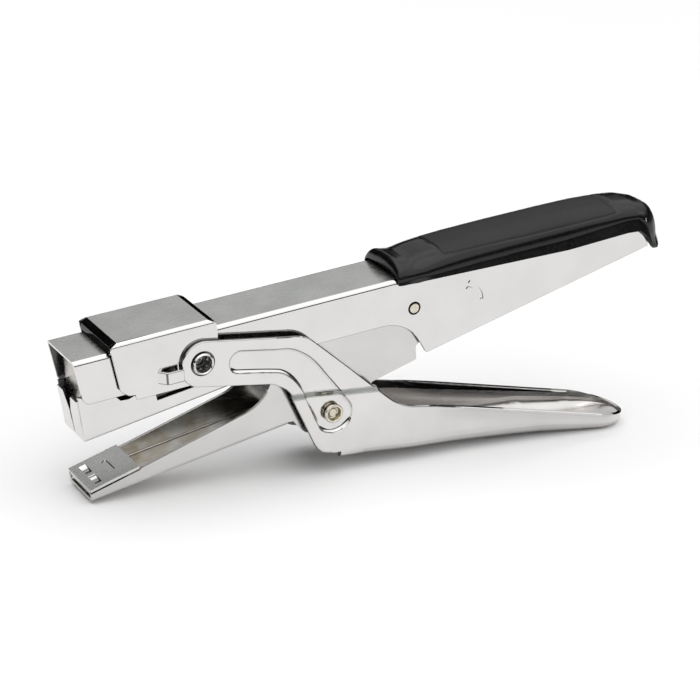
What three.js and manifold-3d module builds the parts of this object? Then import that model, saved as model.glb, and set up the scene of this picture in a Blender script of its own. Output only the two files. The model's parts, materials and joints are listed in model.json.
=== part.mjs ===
// Plier stapler: a hand-squeezed stapler made of pressed sheet steel.
//
// All shapes are drawn in the arm frame: millimetres, origin on the main pin's axis, x along the
// upper arm towards the grip's end, y away from the near side, z square to the arm's top.
// The whole tool is then tilted so that it stands on the anvil's tip and the lower handle's tail.

import * as THREE from 'three';
import { mergeVertices } from 'three/addons/utils/BufferGeometryUtils.js';
import Module from 'manifold-3d';

// ---------------------------------------------------------------- driving dimensions

const GAP = 0.3;                       // air between pieces that touch or run on each other
const TILT = THREE.MathUtils.degToRad(7.8);

const LEVER_PIVOT = { x: -30.1, z: -26.5 };
const SADDLE_PIVOT = { x: -72.4, z: 1.7 };

const ARM = { half: 10, wall: 1, bend: 1.5, top: 10.5, nose: -110.9, rear: 84.8, lower: -3.4 };
const SADDLE = { half: 11.8, wall: 0.95, bend: 1.4, top: 13.85, front: -100, rear: -68.8 };
const LIP = { half: 10.2, reach: 2.6, slope: 0.85, drop: 2.8 };
const HOOK = { low: -1.75, height: 3.7, root: -86.6, rear: -78.9 };
const ANVIL = { half: 8.4, wall: 1, bend: 1.5, tipX: -108.6, tipZ: -35.6, rise: 6.4 };
const PLATE = { x: -108.8, z: -31.6, length: 16.3, rise: 12.7, thick: 0.8 };
const MAGAZINE = { half: 7.7, wall: 0.8, bend: 1.2, x: -108.4, z: -16.4, rise: 6.9, rear: -55 };
const RAIL = { half: 5.6, wall: 0.7, height: 4.2, from: 2.6, length: 50 };
const PUSHER = { half: 6.6, wall: 0.7, length: 12, lug: 4.6 };
const ROD = { radius: 0.9, above: 2.7 };
const LEVER = { frontInner: 12.1, rearInner: 10.5, wall: 1.1, bend: 4 };
const TROUGH = { front: -28, floor: -42.7, fall: 0.188, tail: 67, round: 13.4, lift: 3.2 };
const GRIP = { half: 11.5, crown: 17.2, apex: 16.5, front: -5.6, rear: 91.2, corner: 8.5 };

const PIN = { radius: 1.65, half: 10.2, hole: 2 };
const RIVET = { radius: 2.6, head: 3.1, hole: 2.9, bore: 1.9, cup: 2.2 };
const EYELET = { radius: 2.55, head: 3.4, bore: 1.8, leverHole: 2.85, saddleHole: 3.15 };

const ARC_STEPS = 6;
const ROUND_STEPS = 32;

// ---------------------------------------------------------------- materials

function metal(color, roughness) {
  return new THREE.MeshStandardMaterial({ color, roughness, metalness: 1 });
}

const nickel = metal(0xdcdad6, 0.14);
const warmNickel = metal(0xcfc4a8, 0.25);
const darkSteel = metal(0x8b8e90, 0.35);
const springSteel = metal(0x9a948a, 0.3);
const rubber = new THREE.MeshStandardMaterial({ color: 0x151617, roughness: 0.55, metalness: 0 });

// ---------------------------------------------------------------- solids and booleans

const wasm = await Module();
wasm.setup();

function solidOf(geometry) {
  const bare = geometry.clone();
  bare.deleteAttribute('normal');
  bare.deleteAttribute('uv');
  const merged = mergeVertices(bare, 1e-4);
  return new wasm.Manifold(new wasm.Mesh({
    numProp: 3,
    vertProperties: new Float32Array(merged.attributes.position.array),
    triVerts: new Uint32Array(merged.index.array),
  }));
}

function geometryOf(solid) {
  const mesh = solid.getMesh();
  const geometry = new THREE.BufferGeometry();
  geometry.setAttribute('position', new THREE.BufferAttribute(mesh.vertProperties, mesh.numProp));
  geometry.setIndex(new THREE.BufferAttribute(mesh.triVerts, 1));
  geometry.computeVertexNormals();
  return geometry;
}

const join = (...solids) => solids.reduce((a, b) => a.add(b));
const cut = (base, ...tools) => tools.reduce((a, b) => a.subtract(b), base);

// ---------------------------------------------------------------- shape helpers

// A closed outline from corners [u, v, radius]; a corner with a radius becomes an arc.
function outline(corners) {
  const points = [];
  corners.forEach(([u, v, radius = 0], i) => {
    const here = new THREE.Vector2(u, v);
    if (radius === 0) {
      points.push(here);
      return;
    }
    const before = corners[(i + corners.length - 1) % corners.length];
    const after = corners[(i + 1) % corners.length];
    const back = new THREE.Vector2(before[0] - u, before[1] - v).normalize();
    const ahead = new THREE.Vector2(after[0] - u, after[1] - v).normalize();
    const halfAngle = Math.acos(THREE.MathUtils.clamp(back.dot(ahead), -1, 1)) / 2;
    const centre = back.clone().add(ahead).normalize()
      .multiplyScalar(radius / Math.sin(halfAngle)).add(here);
    const start = back.clone().multiplyScalar(radius / Math.tan(halfAngle)).add(here).sub(centre);
    const end = ahead.clone().multiplyScalar(radius / Math.tan(halfAngle)).add(here).sub(centre);
    const clockwise = back.cross(ahead) > 0;
    const arc = new THREE.EllipseCurve(
      centre.x, centre.y, radius, radius, start.angle(), end.angle(), clockwise);
    points.push(...arc.getPoints(ARC_STEPS));
  });
  return new THREE.Shape(points);
}

function extrude(shape, depth) {
  return new THREE.ExtrudeGeometry(shape, { depth, bevelEnabled: false, steps: 1 });
}

// A flat plate: a side outline in (x, z), thick from y = from to y = to.
function plate(shape, from, to) {
  const geometry = extrude(shape, to - from);
  geometry.rotateX(Math.PI / 2);
  geometry.translate(0, to, 0);
  return solidOf(geometry);
}

const box = (x0, x1, y0, y1, z0, z1) =>
  plate(outline([[x0, z0], [x1, z0], [x1, z1], [x0, z1]]), y0, y1);

// A plate between two distances from the symmetry plane, on one side of it (-1 near, 1 far).
const sidePlate = (shape, side, a, b) =>
  plate(shape, Math.min(side * a, side * b), Math.max(side * a, side * b));

// The same plate on both sides of the symmetry plane.
const pair = (shape, inner, outer) =>
  [plate(shape, -outer, -inner), plate(shape, inner, outer)];

// A bar along x with its section drawn in (y, z).
function bar(section, length) {
  const geometry = extrude(section, length);
  const turn = new THREE.Matrix4().makeBasis(
    new THREE.Vector3(0, 1, 0), new THREE.Vector3(0, 0, 1), new THREE.Vector3(1, 0, 0));
  geometry.applyMatrix4(turn);
  return solidOf(geometry);
}

// The section of a folded sheet channel. closed is the height of the web, open of the free edges.
function channelSection({ half, wall, bend }, closed, open) {
  const inside = closed + (open > closed ? wall : -wall);
  return outline([
    [-half, open], [-half, closed, bend], [half, closed, bend], [half, open],
    [half - wall, open], [half - wall, inside, bend - wall], [wall - half, inside, bend - wall],
    [wall - half, open],
  ]);
}

// Leans a solid about y so that its +x end rises by degrees, then moves it to (x, z).
const lean = (solid, degrees, x, z) => solid.rotate([0, -degrees, 0]).translate([x, 0, z]);

// A round solid about an axis along y: profile points are [radius, y].
function turned(profile, x = 0, z = 0) {
  const points = profile.map(([r, y]) => new THREE.Vector2(r, y));
  return solidOf(new THREE.LatheGeometry(points, ROUND_STEPS)).translate([x, 0, z]);
}

const drum = (radius, y0, y1, x, z) => turned([[0, y0], [radius, y0], [radius, y1], [0, y1]], x, z);
const tube = (outer, inner, y0, y1, x, z) =>
  turned([[inner, y0], [outer, y0], [outer, y1], [inner, y1], [inner, y0]], x, z);

// A straight round rod in the x-z plane at height y, between two points [x, z].
function rod(radius, from, to, y) {
  const start = new THREE.Vector3(from[0], y, from[1]);
  const end = new THREE.Vector3(to[0], y, to[1]);
  const path = new THREE.LineCurve3(start, end);
  const section = new THREE.Shape(new THREE.EllipseCurve(0, 0, radius, radius).getPoints(10).slice(1));
  return solidOf(new THREE.ExtrudeGeometry(section, { extrudePath: path, steps: 1 }));
}

// A closed solid through convex rings of points, one ring for each station along x.
function loft(rings) {
  const size = rings[0].length;
  const position = [];
  const index = [];
  rings.flat().forEach((p) => position.push(p.x, p.y, p.z));
  for (let r = 0; r + 1 < rings.length; r += 1) {
    for (let i = 0; i < size; i += 1) {
      const a = r * size + i;
      const b = r * size + ((i + 1) % size);
      index.push(a, b, a + size, b, b + size, a + size);
    }
  }
  const last = (rings.length - 1) * size;
  for (let i = 1; i + 1 < size; i += 1) {
    index.push(0, i + 1, i);
    index.push(last, last + i, last + i + 1);
  }
  const geometry = new THREE.BufferGeometry();
  geometry.setAttribute('position', new THREE.Float32BufferAttribute(position, 3));
  geometry.setIndex(index);
  return solidOf(geometry);
}

function piece(name, solid, material) {
  const mesh = new THREE.Mesh(geometryOf(solid), material);
  mesh.name = name;
  return mesh;
}

function body(...pieces) {
  const group = new THREE.Group();
  group.add(...pieces);
  return group;
}

// ---------------------------------------------------------------- anvil arm (carries both pivots)

const anvilSide = outline([
  [ANVIL.tipX, -40], [-44, -40], [-44, -6], [-52.2, -19.25, 14], [-92.4, -28.85],
  [-92.8, -29.3], [ANVIL.tipX, -32.8],
]);

const anvilEar = outline([
  [-50, -26.9], [-50, -15.1], [-42, -1.5, 5], [-8, 6.8, 4], [6.8, 6.8, 6], [6.8, -9, 3],
  [1, -13.4, 1], [1, -18, 0.8], [-15.1, -21.6, 3], [-22.3, -33, 5], [-38, -33, 5], [-42, -27.4],
]);

function anvilArm() {
  const section = channelSection(ANVIL, 0, 40);
  const channel = lean(bar(section, 68.5), ANVIL.rise, ANVIL.tipX - 0.2, ANVIL.tipZ);
  const front = channel.intersect(plate(anvilSide, -20, 20));
  const ears = pair(anvilEar, ANVIL.half - ANVIL.wall, ANVIL.half);
  return cut(
    join(front, ...ears),
    drum(PIN.radius + GAP, -12, 12, 0, 0),
    drum(RIVET.radius + GAP, -12, 12, LEVER_PIVOT.x, LEVER_PIVOT.z),
  );
}

// The forming plate over the anvil arm's tip, with its clinching grooves pressed in.
function anvilPlate() {
  const { length, thick } = PLATE;
  const groove = 0.35;
  const blank = box(0, length, -ANVIL.half, ANVIL.half, -thick, 0);
  const slot = outline([[2.8, -groove], [4.4, -groove], [4.4, 1], [2.8, 1]]);
  const grooves = [-1, 1].map((side) => sidePlate(slot, side, 0.7, 6.4));
  const pinning = box(8.6, 10.4, -3.6, 3.6, -groove, 1);
  return lean(cut(blank, ...grooves, pinning), PLATE.rise, PLATE.x, PLATE.z);
}

const mainPin = () => turned([
  [0, -PIN.half], [PIN.radius - 0.3, -PIN.half], [PIN.radius, 0.3 - PIN.half],
  [PIN.radius, PIN.half - 0.3], [PIN.radius - 0.3, PIN.half], [0, PIN.half],
]);

// A cupped tubular rivet: a head at each end, each with a blind bore.
function leverRivet() {
  const face = LEVER.rearInner + LEVER.wall + GAP;
  const end = face + 0.6;
  const half = [
    [RIVET.radius, face], [RIVET.head, face], [RIVET.head, end - 0.2], [RIVET.head - 0.3, end],
    [RIVET.bore, end], [RIVET.bore - 0.4, end - RIVET.cup], [0, end - RIVET.cup],
  ];
  const mirrored = half.map(([r, y]) => [r, -y]).reverse();
  return turned([...mirrored, ...half], LEVER_PIVOT.x, LEVER_PIVOT.z);
}

const leverWasher = (side) => {
  const inner = ANVIL.half + GAP;
  const outer = LEVER.rearInner - GAP;
  return tube(5, RIVET.radius + GAP, Math.min(side * inner, side * outer),
    Math.max(side * inner, side * outer), LEVER_PIVOT.x, LEVER_PIVOT.z);
};

const leverBush = () => {
  const half = ANVIL.half - ANVIL.wall - GAP;
  return tube(3.7, RIVET.radius + GAP, -half, half, LEVER_PIVOT.x, LEVER_PIVOT.z);
};

// Torsion spring on the lever's bush: one leg on the anvil arm's floor, one in the lower handle.
function returnSpring() {
  const wire = 0.6;
  const coil = tube(5.4, 4.1, -4, 4, LEVER_PIVOT.x, LEVER_PIVOT.z);
  const front = rod(wire, [-31, -22], [-52, -27], -3.3);
  const rear = rod(wire, [-26, -30], [2, -43], 3.3);
  return join(coil, front, rear);
}

// ---------------------------------------------------------------- upper arm

const armSide = outline([
  [ARM.nose, 12], [ARM.nose, ARM.top], [-109, -1.2], [-108.4, ARM.lower, 2.2],
  [-2.6, ARM.lower, 14.2], [3.7, -15.8, 1], [81.9, -0.3], [ARM.rear + 0.6, 0.5], [ARM.rear, 12],
]);

function upperArm() {
  const section = channelSection(ARM, ARM.top, -20);
  const channel = bar(section, 200).translate([-112, 0, 0]);
  return cut(channel.intersect(plate(armSide, -20, 20)), drum(PIN.hole, -12, 12, 0, 0));
}

const driverBlade = () => box(-107.6, -107, -6.2, 6.2, -9.7, ARM.top - ARM.wall - GAP);

const driverBlock = () => box(-106.7, -99, -6, 6, 5.6, ARM.top - ARM.wall - GAP);

// Leaf spring that holds the magazine down, hung under the arm's top.
function magazineSpring() {
  const thick = 0.5;
  const root = ARM.top - ARM.wall - GAP;
  const leaf = outline([
    [-16, root], [-34, root, 20], [-70, 0.2, 6], [-76, 2.2], [-76, 2.2 - thick],
    [-70, 0.2 - thick, 6], [-34, root - thick, 20], [-16, root - thick],
  ]);
  return plate(leaf, -3.5, 3.5);
}

// The moulded sleeve over the arm's rear: crowned across, lipped in front, hooked over the end.
function grip() {
  const { half, crown, apex } = GRIP;
  const side = outline([
    [GRIP.front, 10.4, 1], [-4.8, 8.9, 1], [55, 6.5], [77, 7], [83, 6.6, 3], [86.9, 0],
    [86.9, -1.1], [88.6, -1.1, 0.6], [GRIP.rear, 0.5], [GRIP.rear, 13.3, 6], [70, 16.3, 30],
    [46, 16.5, 60], [10, 15.3, 12], [-0.6, 14.6, 4], [-4.6, 15.3, 1.6], [GRIP.front, 13.2, 2],
  ]);
  const sweep = Math.asin(half / crown);
  const arc = new THREE.EllipseCurve(
    0, apex - crown, crown, crown, Math.PI / 2 - sweep, Math.PI / 2 + sweep);
  const crest = new THREE.Shape([
    new THREE.Vector2(-half, -5), new THREE.Vector2(half, -5), ...arc.getPoints(14),
  ]);
  const outer = bar(crest, 120).translate([-20, 0, 0]).intersect(plate(side, -half, half));
  const plan = extrude(outline([
    [-20, -half], [GRIP.rear, -half, GRIP.corner], [GRIP.rear, half, GRIP.corner], [-20, half],
  ]), 40);
  const roundEnd = solidOf(plan.translate(0, 0, -10));
  const seat = box(-20, 86.9, -ARM.half - GAP, ARM.half + GAP, -5, ARM.top + GAP);
  return cut(outer, seat).intersect(roundEnd);
}

// ---------------------------------------------------------------- saddle

const saddleSide = outline([
  [SADDLE.front + 2.4, 20], [SADDLE.front + 2.4, SADDLE.top], [SADDLE.front, SADDLE.top - 1.1, 0.8],
  [-97.8, -1.4, 1.5], [-95.5, -3.2, 1.5], [-93.4, -3.4], [-93.2, -5], [-66, -5],
  [SADDLE.rear + 2.4, 6], [SADDLE.rear + 2.4, SADDLE.top - 1.3, 0.8], [SADDLE.rear, SADDLE.top],
  [SADDLE.rear, 20],
]);

// A lip across the saddle's top, at the front or the rear edge: a sloping facet and a short drop.
function saddleLip(edge, direction) {
  const { reach, slope, drop } = LIP;
  const { wall, top } = SADDLE;
  const corners = [
    [0, 0], [reach - 0.4, -slope, 0.7], [reach, -drop],
    [reach - wall, -drop], [reach - 0.35 - wall, -slope - 0.75 * wall, 0.2], [0, -wall],
  ];
  const placed = corners.map(([u, v, ...radius]) => [edge + direction * u, top + v, ...radius]);
  return plate(outline(placed), -LIP.half, LIP.half);
}

// A tab folded out of the saddle's side that keeps the lever's round end from spreading.
function hookTab(side) {
  const near = LEVER.frontInner + LEVER.wall + GAP;
  const far = near + SADDLE.wall;
  const strip = extrude(outline([
    [HOOK.root, SADDLE.half - 0.5], [HOOK.root + 1.3, SADDLE.half - 0.5], [HOOK.root + 3, near],
    [HOOK.rear, near], [HOOK.rear, far], [HOOK.root + 2.4, far],
  ].map(([x, y]) => [x, side * y])), HOOK.height);
  return solidOf(strip).translate([0, 0, HOOK.low]);
}

function saddle() {
  const channel = bar(channelSection(SADDLE, SADDLE.top, -20), 60).translate([-110, 0, 0]);
  const shell = channel.intersect(plate(saddleSide, -20, 20));
  const lips = [saddleLip(SADDLE.front + 2.5, -1), saddleLip(SADDLE.rear, 1)];
  const holes = drum(EYELET.saddleHole, -20, 20, SADDLE_PIVOT.x, SADDLE_PIVOT.z);
  return join(cut(shell, holes), ...lips, hookTab(-1), hookTab(1));
}

// ---------------------------------------------------------------- lever and lower handle

// The S-shaped cheek from the round end at the saddle down to the lower handle.
const leverCheek = outline([
  [-79, 10.2, 7], [-38.4, 1.85, 11], [-6.8, -30.7, 20], [6, -34.2], [10, -50],
  [-24, -40.6], [-35.4, -39.3, 7], [-45, -14.5, 8], [-50.2, -11, 6], [-79, -4.5, 6.2],
]);

// Rim of the lower handle, seen from the side.
const handleRim = outline([
  [-28.5, -9.2], [-6.8, -30.7, 20], [6, -34.2, 40], [84, -59.6], [84, -70], [-28.5, -70],
]);

// One ring of the trough: half width, floor height and corner radius at a station along x.
function troughRing(x, half, floor, bend) {
  const top = -15;
  const shape = outline([[-half, top], [-half, floor, bend], [half, floor, bend], [half, top]]);
  return shape.getPoints().map((p) => new THREE.Vector3(x, p.x, p.y));
}

// Width and floor of the handle's outer skin, rounded like a spoon at the tail.
function troughStation(x) {
  const into = Math.max(0, (x - TROUGH.tail) / TROUGH.round);
  const round = Math.sqrt(Math.max(0.02, 1 - into * into));
  return {
    half: (LEVER.rearInner + LEVER.wall - 0.3 * THREE.MathUtils.clamp(x / 60, 0, 1)) * round,
    floor: TROUGH.floor - TROUGH.fall * (x - TROUGH.front) + TROUGH.lift * into * into,
    bend: LEVER.bend * Math.min(1, round + 0.1),
  };
}

function trough() {
  const stations = [-28, 0, 30, 55, 67, 71, 74, 76.5, 78.5, 79.8, 80.4];
  const skin = stations.map((x) => {
    const { half, floor, bend } = troughStation(x);
    return troughRing(x, half, floor, Math.min(bend, half * 0.9));
  });
  const hollowStations = [-30, 0, 30, 55, 67, 71, 74, 76.5, 78.4, 79.2];
  const hollow = hollowStations.map((x) => {
    const { half, floor, bend } = troughStation(x + LEVER.wall);
    const inner = half - LEVER.wall;
    return troughRing(x, inner, floor + LEVER.wall, Math.min(bend - LEVER.wall + 0.2, inner * 0.9));
  });
  return loft(skin).subtract(loft(hollow)).intersect(plate(handleRim, -20, 20));
}

// The cheek steps inwards where it passes from the saddle's sides to the handle's sides.
function cheekPair() {
  const step = { x: -44.8, z: -16.5, slope: 9.4, height: 3.4 };
  const outer = LEVER.frontInner + LEVER.wall;
  const rear = LEVER.rearInner + LEVER.wall;
  const above = lean(box(-60, 60, -30, 30, 0, 60), -step.slope, step.x, step.z);
  const below = lean(box(-60, 60, -30, 30, -60, -step.height), -step.slope, step.x, step.z);
  const sheet = (side) => new THREE.Shape([
    [LEVER.frontInner, 0], [outer, 0], [rear, -step.height], [LEVER.rearInner, -step.height],
  ].map(([y, z]) => new THREE.Vector2(side * y, z)));
  return [-1, 1].map((side) => {
    const shape = sheet(side);
    const joggle = lean(bar(shape, 120).translate([-60, 0, 0]), -step.slope, step.x, step.z)
      .intersect(plate(leverCheek, -20, 20));
    return join(
      sidePlate(leverCheek, side, LEVER.frontInner, outer).intersect(above),
      joggle,
      sidePlate(leverCheek, side, LEVER.rearInner, rear).intersect(below),
    );
  });
}

function lever() {
  const insideTrough = lean(box(0, 40, -12, 12, 3.4, 30), -10.6, TROUGH.front, TROUGH.floor);
  const cheeks = cheekPair().map((cheek) => cheek.intersect(join(
    box(-90, TROUGH.front, -20, 20, -60, 20), insideTrough,
    box(TROUGH.front - 0.01, 40, -20, 20, -38, 20))));
  return cut(
    join(...cheeks, trough()),
    drum(EYELET.leverHole, -20, 20, SADDLE_PIVOT.x, SADDLE_PIVOT.z),
    drum(RIVET.hole, -20, 20, LEVER_PIVOT.x, LEVER_PIVOT.z),
  );
}

function eyelet(side) {
  const face = LEVER.frontInner + LEVER.wall + GAP;
  const profile = [
    [EYELET.bore, 10.4], [EYELET.radius, 10.4], [EYELET.radius, face], [EYELET.head, face],
    [EYELET.head, face + 0.4], [EYELET.head - 0.4, face + 0.7], [EYELET.bore + 0.5, face + 0.7],
    [EYELET.bore, face], [EYELET.bore, 10.4],
  ];
  const oriented = side > 0 ? profile : profile.map(([r, y]) => [r, -y]).reverse();
  return turned(oriented, SADDLE_PIVOT.x, SADDLE_PIVOT.z);
}

// ---------------------------------------------------------------- magazine

const magazineSide = outline([
  [-109.7, -1.7], [-108.3, -20], [MAGAZINE.rear, -20], [MAGAZINE.rear, -5.9], [-85.2, -8.95],
  [-86.2, -3.2],
]);

const magazineHanger = outline([
  [-62, -9.8], [-62, -6.2], [-8, 3.2, 4], [3.6, 3.6, 3.4], [3.6, -3.6, 3.4], [-40, -6.5],
]);

const inMagazine = (solid) => lean(solid, MAGAZINE.rise, MAGAZINE.x, MAGAZINE.z);

// Staple channel: open above, folded across its nose with a slit, slotted below for the staple.
function magazineChannel() {
  const channel = inMagazine(bar(channelSection(MAGAZINE, 0, 20), 60).translate([-1.5, 0, 0]))
    .intersect(plate(magazineSide, -20, 20));
  const nose = inMagazine(box(-0.1, 0.7, 0.6 - MAGAZINE.half, MAGAZINE.half - 0.6, 0.3, 13.4));
  const slit = inMagazine(box(-1, 0.9, -0.45, 0.45, -1, 20));
  const mouth = inMagazine(bar(outline([[-3.2, 14.5], [-0.3, 7.6], [0.3, 7.6], [3.2, 14.5]]), 1.9)
    .translate([-1, 0, 0]));
  const exit = inMagazine(box(0.7, 2.5, -6.5, 6.5, -1, 3));
  const hangers = pair(magazineHanger, 6.1, 7.05);
  return cut(join(channel, nose, ...hangers), slit, mouth, exit,
    drum(PIN.radius + GAP, -12, 12, 0, 0));
}

const railFoot = MAGAZINE.wall + GAP;
const railTop = railFoot + RAIL.height;

function stapleRail() {
  const section = channelSection({ half: RAIL.half, wall: RAIL.wall, bend: 1 }, railTop, railFoot);
  return inMagazine(bar(section, RAIL.length).translate([RAIL.from, 0, 0]));
}

// The follower: straddles the rail and carries a lug for the guide rod.
function pusher() {
  const roof = railTop + GAP + PUSHER.wall;
  const section = channelSection({ half: PUSHER.half, wall: PUSHER.wall, bend: 1 }, roof, railFoot + 0.6);
  const shoe = bar(section, PUSHER.length).translate([3.2, 0, 0]);
  const lug = box(3.2 + PUSHER.length - 2, 3.2 + PUSHER.length, -2.2, 2.2, roof - 0.2, roof + PUSHER.lug);
  const hole = bar(new THREE.Shape(
    new THREE.EllipseCurve(0, roof + ROD.above, 1.25, 1.25).getPoints(16).slice(1)), 60);
  return inMagazine(cut(join(shoe, lug), hole));
}

const rodHeight = railTop + GAP + PUSHER.wall + ROD.above;
const anchorAt = { from: 50.4, to: 52.6 };

function alongMagazine(radius, from, to) {
  const circle = new THREE.EllipseCurve(0, rodHeight, radius, radius).getPoints(16).slice(1);
  return bar(new THREE.Shape(circle), to - from).translate([from, 0, 0]);
}

const springRod = () => inMagazine(alongMagazine(ROD.radius, 11, 53.4));

const pusherSpring = () => {
  const from = 3.2 + PUSHER.length + GAP;
  const to = anchorAt.from - GAP;
  return inMagazine(cut(alongMagazine(1.9, from, to), alongMagazine(1.25, from - 1, to + 1)));
};

// Cross piece at the magazine's rear that holds the guide rod and the spring's end.
function springAnchor() {
  const block = box(anchorAt.from, anchorAt.to, -5.6, 5.6, railTop + GAP, rodHeight + 2.2);
  return inMagazine(cut(block, alongMagazine(ROD.radius + GAP, 40, 60)));
}

const magazineBush = () => tube(3.4, PIN.radius + GAP, -5.8, 5.8, 0, 0);

// ---------------------------------------------------------------- the whole tool

const linkage = new THREE.Group();
linkage.add(
  body(
    piece('anvil_arm', anvilArm(), nickel),
    piece('anvil_plate', anvilPlate(), nickel),
    piece('main_pin', mainPin(), warmNickel),
    piece('lever_rivet', leverRivet(), warmNickel),
    piece('lever_washer_near', leverWasher(-1), darkSteel),
    piece('lever_washer_far', leverWasher(1), darkSteel),
    piece('lever_bush', leverBush(), darkSteel),
    piece('return_spring', returnSpring(), springSteel),
    piece('magazine_bush', magazineBush(), darkSteel),
  ),
  body(
    piece('upper_arm', upperArm(), nickel),
    piece('driver_blade', driverBlade(), darkSteel),
    piece('driver_block', driverBlock(), darkSteel),
    piece('magazine_spring', magazineSpring(), springSteel),
    piece('grip', grip(), rubber),
  ),
  body(piece('saddle', saddle(), nickel)),
  body(
    piece('lever', lever(), nickel),
    piece('eyelet_near', eyelet(-1), nickel),
    piece('eyelet_far', eyelet(1), nickel),
  ),
  body(
    piece('magazine_channel', magazineChannel(), nickel),
    piece('staple_rail', stapleRail(), darkSteel),
    piece('spring_rod', springRod(), darkSteel),
    piece('pusher_spring', pusherSpring(), springSteel),
    piece('spring_anchor', springAnchor(), darkSteel),
  ),
  body(piece('pusher', pusher(), darkSteel)),
);
linkage.rotation.y = -TILT;

// Stand the tool on z = 0 with the middle of its box over the origin.
const stapler = new THREE.Group();
stapler.add(linkage);
stapler.updateMatrixWorld(true);
const extent = new THREE.Box3().setFromObject(stapler, true);
const middle = extent.getCenter(new THREE.Vector3());
linkage.position.set(-middle.x, -middle.y, -extent.min.z);

export default stapler;
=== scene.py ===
# Plier stapler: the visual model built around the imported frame.
# Shapes are drawn in the arm frame: millimetres, origin on the main pin's axis, x along the upper
# arm towards the grip's end, y away from the near side, z square to the arm's top.

import json
import math

import bmesh
import bpy
import numpy as np
from mathutils import Matrix, Vector


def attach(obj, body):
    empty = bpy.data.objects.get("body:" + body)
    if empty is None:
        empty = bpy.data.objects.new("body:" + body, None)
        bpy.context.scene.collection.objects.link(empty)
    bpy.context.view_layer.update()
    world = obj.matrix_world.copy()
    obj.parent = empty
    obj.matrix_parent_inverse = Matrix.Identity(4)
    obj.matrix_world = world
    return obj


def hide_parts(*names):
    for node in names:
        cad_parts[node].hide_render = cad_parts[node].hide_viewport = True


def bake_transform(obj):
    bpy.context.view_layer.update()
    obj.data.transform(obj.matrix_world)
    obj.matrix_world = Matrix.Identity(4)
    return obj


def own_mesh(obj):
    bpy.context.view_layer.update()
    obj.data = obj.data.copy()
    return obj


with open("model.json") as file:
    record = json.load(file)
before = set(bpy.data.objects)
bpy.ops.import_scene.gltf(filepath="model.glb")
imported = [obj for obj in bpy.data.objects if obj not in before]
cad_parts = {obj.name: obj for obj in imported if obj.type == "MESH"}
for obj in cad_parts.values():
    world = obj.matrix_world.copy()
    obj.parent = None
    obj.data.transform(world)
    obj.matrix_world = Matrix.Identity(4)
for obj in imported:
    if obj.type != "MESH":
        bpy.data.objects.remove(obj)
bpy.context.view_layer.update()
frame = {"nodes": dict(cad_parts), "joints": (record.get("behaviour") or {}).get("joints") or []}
joints = {j["name"]: j for j in frame["joints"]}

TILT = math.radians(7.8)
MAIN_PIN = Vector(joints["arm_press"]["pos_m"])
ARM_FRAME = (Matrix.Translation(MAIN_PIN) @ Matrix.Rotation(-TILT, 4, "Y")
             @ Matrix.Scale(0.001, 4))

# radii of the bores round the main pin and, in the lever, round its two pivots
MAIN_BORE, LEVER_BORE = 1.95, 2.85
LEVER_PIVOT = (-30.1, -26.5)
SADDLE_PIVOT = (-72.4, 1.7)
ANVIL = {"half": 8.4, "wall": 1.0}
SADDLE = {"half": 11.8, "wall": 0.95, "top": 13.85, "lip_half": 10.2}
ARROW = {"x": 18.0, "z": -2.7, "radius": 5.75, "half_width": 0.62, "reach": 7.8}
# place is the magazine's rise in degrees and its front corner in (x, z)
MAGAZINE = {"place": (6.9, -108.4, -16.4), "half": 7.7, "wall": 0.8}


# ---------------------------------------------------------------- outlines

def rounded(corners, closed=True, step=7.0):
    """Corners (u, v) or (u, v, radius) to points, with an arc at each corner that has a radius."""
    points = []
    count = len(corners)
    for i, corner in enumerate(corners):
        here = Vector(corner[:2])
        radius = corner[2] if len(corner) > 2 else 0
        if not radius or (not closed and i in (0, count - 1)):
            points.append(tuple(here))
            continue
        back = (Vector(corners[i - 1][:2]) - here).normalized()
        ahead = (Vector(corners[(i + 1) % count][:2]) - here).normalized()
        half = math.acos(max(-1, min(1, back.dot(ahead)))) / 2
        centre = here + (back + ahead).normalized() * radius / math.sin(half)
        reach = radius / math.tan(half)
        start = here + back * reach - centre
        end = here + ahead * reach - centre
        turn = start.angle_signed(end)
        steps = max(2, round(abs(math.degrees(turn)) / step))
        first = math.atan2(start.y, start.x)
        for k in range(steps + 1):
            angle = first - turn * k / steps
            points.append((centre.x + radius * math.cos(angle), centre.y + radius * math.sin(angle)))
    return points


def circle(radius, u=0.0, v=0.0, steps=48):
    """Points round a circle about (u, v)."""
    return [(u + radius * math.cos(2 * math.pi * k / steps),
             v + radius * math.sin(2 * math.pi * k / steps)) for k in range(steps)]


def channel_section(half, wall, bend, closed, free):
    """Section of a folded sheet in (y, z): closed is the web's height, free that of the edges."""
    inside = closed + (wall if free > closed else -wall)
    return rounded([
        (-half, free), (-half, closed, bend), (half, closed, bend), (half, free),
        (half - wall, free), (half - wall, inside, bend - wall), (wall - half, inside, bend - wall),
        (wall - half, free)])


def curved(points, steps=8):
    """A smooth curve through points, as short straight steps."""
    pts = [np.array(p) for p in (points[0], *points, points[-1])]
    curve = []
    for a, b, c, d in zip(pts, pts[1:], pts[2:], pts[3:]):
        for k in range(steps):
            t = k / steps
            curve.append(tuple(0.5 * (2 * b + (c - a) * t + (2 * a - 5 * b + 4 * c - d) * t ** 2
                                      + (3 * b - a - 3 * c + d) * t ** 3)))
    return curve + [tuple(points[-1])]


# ---------------------------------------------------------------- solids

def new_object(name, verts, faces):
    mesh = bpy.data.meshes.new(name)
    mesh.from_pydata([tuple(v) for v in verts], [], faces)
    obj = bpy.data.objects.new(name, mesh)
    bpy.context.scene.collection.objects.link(obj)
    return obj


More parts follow.
